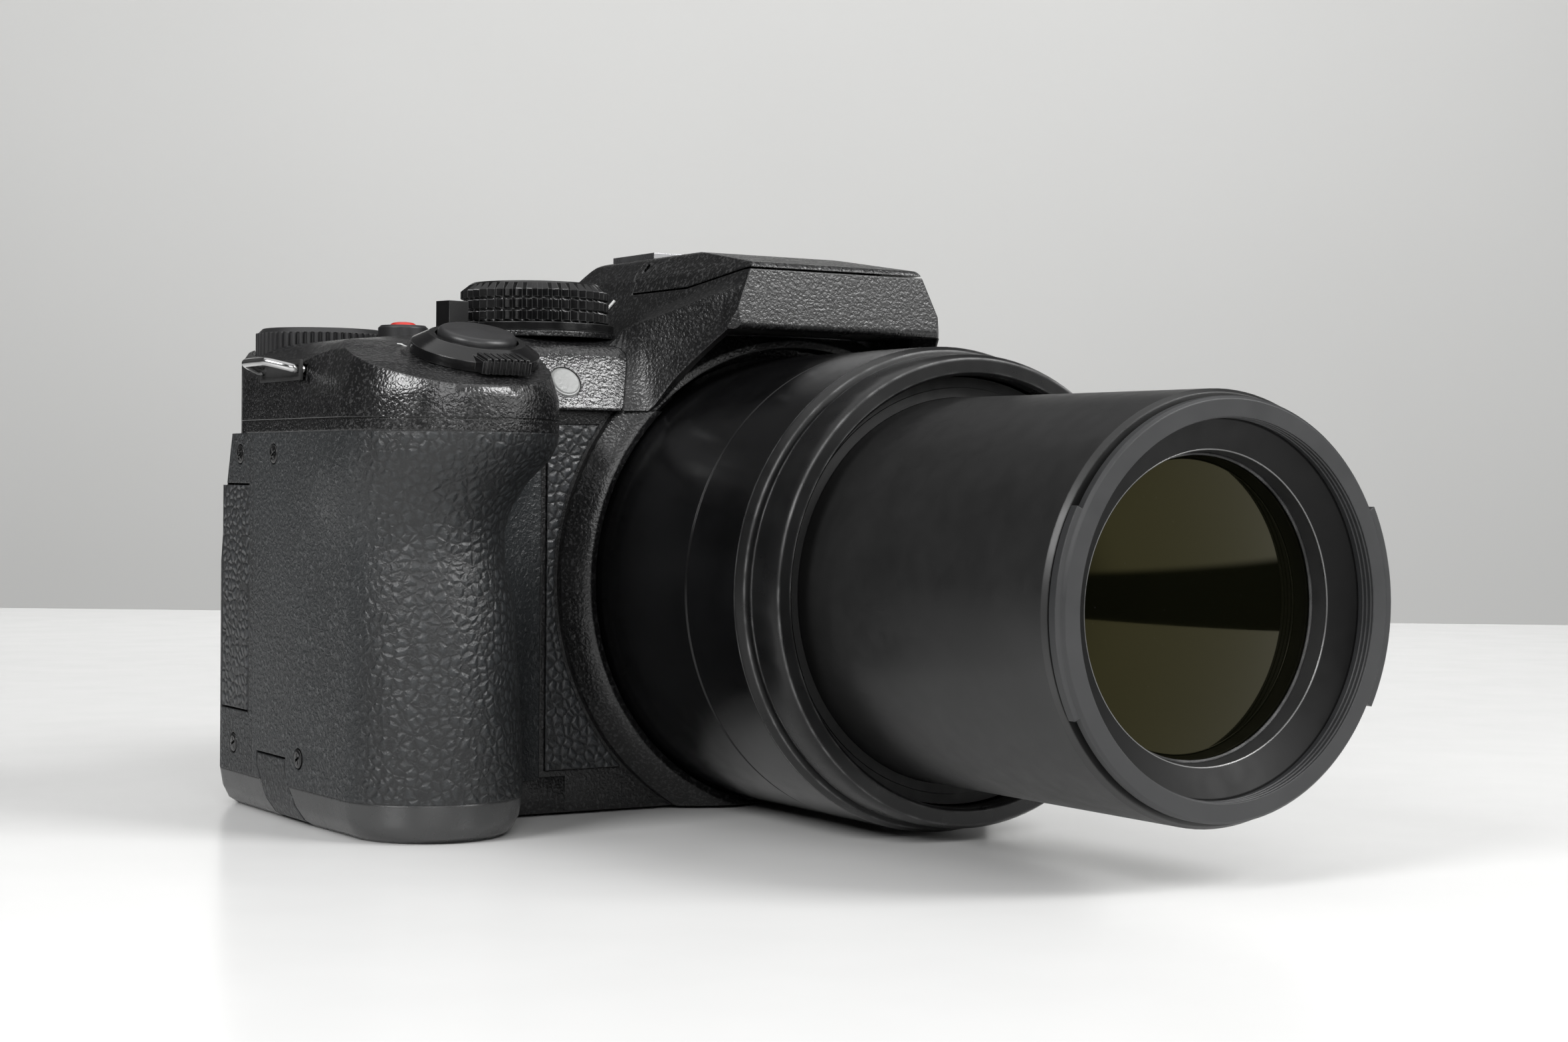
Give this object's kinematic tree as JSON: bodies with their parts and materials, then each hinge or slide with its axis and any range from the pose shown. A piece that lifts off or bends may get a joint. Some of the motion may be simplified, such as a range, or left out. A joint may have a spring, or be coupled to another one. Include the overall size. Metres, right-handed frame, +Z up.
{
  "type": "bridge camera",
  "caption": "Black bridge camera with a deep grip, an extending zoom lens driven by a cam ring, pop-up flash, dials, swing-out screen and opening doors.",
  "frame": {"origin": "mouth of the tripod socket on the base plane", "axes": "+Z up, -Y where the lens looks, -X the grip side; +Y is the longest extent with the zoom run out"},
  "size_m": [0.143, 0.1701, 0.0939],
  "materials": {
    "crinkle_paint": "fine crinkle, semi-gloss",
    "grip_rubber": "pebble leather grain",
    "satin_base": "smooth satin",
    "barrel_black": "satin gloss",
    "dark_rings": "satin with bright bevels",
    "black_key": "satin",
    "soft_black": "matt",
    "optical_glass": "coated",
    "frosted_lamp": "frosted",
    "bright_steel": "polished",
    "plain_steel": "plain",
    "inner_metal": "plain",
    "inner_plastic": "plain"
  },
  "bodies": {
    "camera": {"bottom_cover": "satin_base", "battery": "inner_plastic", "memory_card": "inner_plastic", "battery_box": "inner_plastic", "grip_cover": "grip_rubber", "front_cover": "crinkle_paint", "front_leather": "grip_rubber", "rear_cover": "crinkle_paint", "thumb_rest": "grip_rubber", "top_cover": "crinkle_paint", "roof_cover": "crinkle_paint", "flash_pin": "plain_steel", "hot_shoe": "plain_steel", "mode_dial_base": "crinkle_paint", "af_lamp": "frosted_lamp", "strap_lugs": "bright_steel", "case_screws": "black_key", "tripod_bush": "plain_steel", "chassis": "inner_metal", "barrel_shell": "barrel_black", "barrel_trim": "dark_rings", "guide_tube": "inner_metal", "rear_lens": "optical_glass", "sensor_board": "inner_plastic", "main_board": "inner_plastic", "zoom_motor": "inner_metal", "eyecup": "soft_black", "eyepiece_lens": "optical_glass"},
    "zoom": {"zoom_tube": "barrel_black", "front_ring": "dark_rings", "name_ring": "barrel_black", "front_lens": "optical_glass", "inner_lens": "optical_glass"},
    "cam": {"cam_ring": "inner_metal"},
    "shutter": {"shutter_button": "black_key"},
    "lever": {"zoom_lever": "dark_rings"},
    "mode": {"mode_dial": "dark_rings"},
    "power": {"power_lever": "dark_rings"},
    "wheel": {"rear_dial": "dark_rings"},
    "record": {"record_button": "black_key"},
    "flash": {"flash_head": "crinkle_paint", "flash_window": "frosted_lamp"},
    "release": {"flash_release": "black_key"},
    "diopter": {"diopter_dial": "dark_rings"},
    "screen": {"screen_bracket": "black_key", "screen_housing": "black_key", "screen_glass": "optical_glass"},
    "hatch": {"battery_door": "satin_base"},
    "latch": {"battery_latch": "satin_base"},
    "ports": {"terminal_door": "grip_rubber"},
    "inlet": {"dc_flap": "satin_base"},
    "mic": {"mic_cover": "satin_base"},
    "lock": {"af_lock_button": "black_key"},
    "play": {"play_button": "black_key"},
    "pad": {"cursor_pad": "black_key"},
    "menu": {"menu_button": "black_key"},
    "disp": {"disp_button": "black_key"},
    "delete": {"delete_button": "black_key"},
    "side": {"side_lever": "barrel_black"},
    "focus": {"focus_switch": "barrel_black"}
  },
  "joints": [
    {"name": "zoom_slide", "type": "slide", "parent": "camera", "child": "zoom", "axis": [0, 1, 0], "range_m": [0, 0.052]},
    {"name": "cam_turn", "type": "hinge", "parent": "camera", "child": "cam", "pos_m": [0.014, -0.036, 0.0377], "axis": [0, 1, 0], "range_deg": [0, 80.2]},
    {"name": "shutter_press", "type": "slide", "parent": "camera", "child": "shutter", "axis": [0, 0.2924, -0.9563], "range_m": [0, 0.0008], "stiffness_N_per_m": 300},
    {"name": "zoom_lever_turn", "type": "hinge", "parent": "camera", "child": "lever", "pos_m": [-0.0474, -0.029, 0.0726], "axis": [0, -0.2924, 0.9563], "range_deg": [-20, 20], "stiffness_Nm_per_rad": 0.05},
    {"name": "mode_dial_turn", "type": "hinge", "parent": "camera", "child": "mode", "pos_m": [-0.0232, -0.001, 0.08], "axis": [0, 0, 1], "continuous": true},
    {"name": "power_lever_turn", "type": "hinge", "parent": "camera", "child": "power", "pos_m": [-0.0232, -0.001, 0.079], "axis": [0, 0, 1], "range_deg": [0, 30]},
    {"name": "rear_dial_turn", "type": "hinge", "parent": "camera", "child": "wheel", "pos_m": [-0.0557, 0.012, 0.075], "axis": [0, 0, 1], "continuous": true},
    {"name": "record_press", "type": "slide", "parent": "camera", "child": "record", "axis": [0, 0, -1], "range_m": [0, 0.0007], "stiffness_N_per_m": 250},
    {"name": "flash_raise", "type": "hinge", "parent": "camera", "child": "flash", "pos_m": [0.014, 0.001, 0.0905], "axis": [-1, 0, 0], "range_deg": [0, 55]},
    {"name": "flash_release_press", "type": "slide", "parent": "camera", "child": "release", "axis": [-1, 0, 0], "range_m": [0, 0.0008], "stiffness_N_per_m": 250},
    {"name": "diopter_turn", "type": "hinge", "parent": "camera", "child": "diopter", "pos_m": [0.034, 0.0206, 0.0846], "axis": [1, 0, 0], "continuous": true},
    {"name": "screen_swing", "type": "hinge", "parent": "camera", "child": "screen", "pos_m": [0.0575, 0.0218, 0.034], "axis": [0, 0, -1], "range_deg": [0, 175]},
    {"name": "battery_door_swing", "type": "hinge", "parent": "camera", "child": "hatch", "pos_m": [-0.0427, -0.0025, 0.0016], "axis": [0, -1, 0], "range_deg": [0, 95]},
    {"name": "battery_latch_slide", "type": "slide", "parent": "hatch", "child": "latch", "axis": [-1, 0, 0], "range_m": [0, 0.003]},
    {"name": "terminal_door_swing", "type": "hinge", "parent": "camera", "child": "ports", "pos_m": [-0.0692, 0.0078, 0.034], "axis": [0, 0, 1], "range_deg": [0, 90]},
    {"name": "inlet_flap_swing", "type": "hinge", "parent": "camera", "child": "inlet", "pos_m": [-0.06935, -0.004, 0.0094], "axis": [0, 1, 0], "range_deg": [0, 90]},
    {"name": "mic_flap_swing", "type": "hinge", "parent": "camera", "child": "mic", "pos_m": [0.0608, 0.0022, 0.047], "axis": [0, 0, 1], "range_deg": [0, 90]},
    {"name": "lock_press", "type": "slide", "parent": "camera", "child": "lock", "axis": [0, -1, 0], "range_m": [0, 0.0007], "stiffness_N_per_m": 250},
    {"name": "play_press", "type": "slide", "parent": "camera", "child": "play", "axis": [0, -1, 0], "range_m": [0, 0.0007], "stiffness_N_per_m": 250},
    {"name": "cursor_press", "type": "slide", "parent": "camera", "child": "pad", "axis": [0, -1, 0], "range_m": [0, 0.0005], "stiffness_N_per_m": 250},
    {"name": "menu_press", "type": "slide", "parent": "camera", "child": "menu", "axis": [0, -1, 0], "range_m": [0, 0.0006], "stiffness_N_per_m": 250},
    {"name": "disp_press", "type": "slide", "parent": "camera", "child": "disp", "axis": [0, -1, 0], "range_m": [0, 0.0007], "stiffness_N_per_m": 250},
    {"name": "delete_press", "type": "slide", "parent": "camera", "child": "delete", "axis": [0, -1, 0], "range_m": [0, 0.0007], "stiffness_N_per_m": 250},
    {"name": "side_lever_turn", "type": "hinge", "parent": "camera", "child": "side", "pos_m": [0.014, -0.031, 0.0377], "axis": [0, 1, 0], "range_deg": [-7, 7], "stiffness_Nm_per_rad": 0.2},
    {"name": "focus_switch_turn", "type": "hinge", "parent": "camera", "child": "focus", "pos_m": [0.014, -0.042, 0.0377], "axis": [0, 1, 0], "range_deg": [-6, 6]}
  ],
  "couplings": [
    {"joint": "cam_turn", "follows": "zoom_slide", "rad_per_m": 26.851}
  ]
}
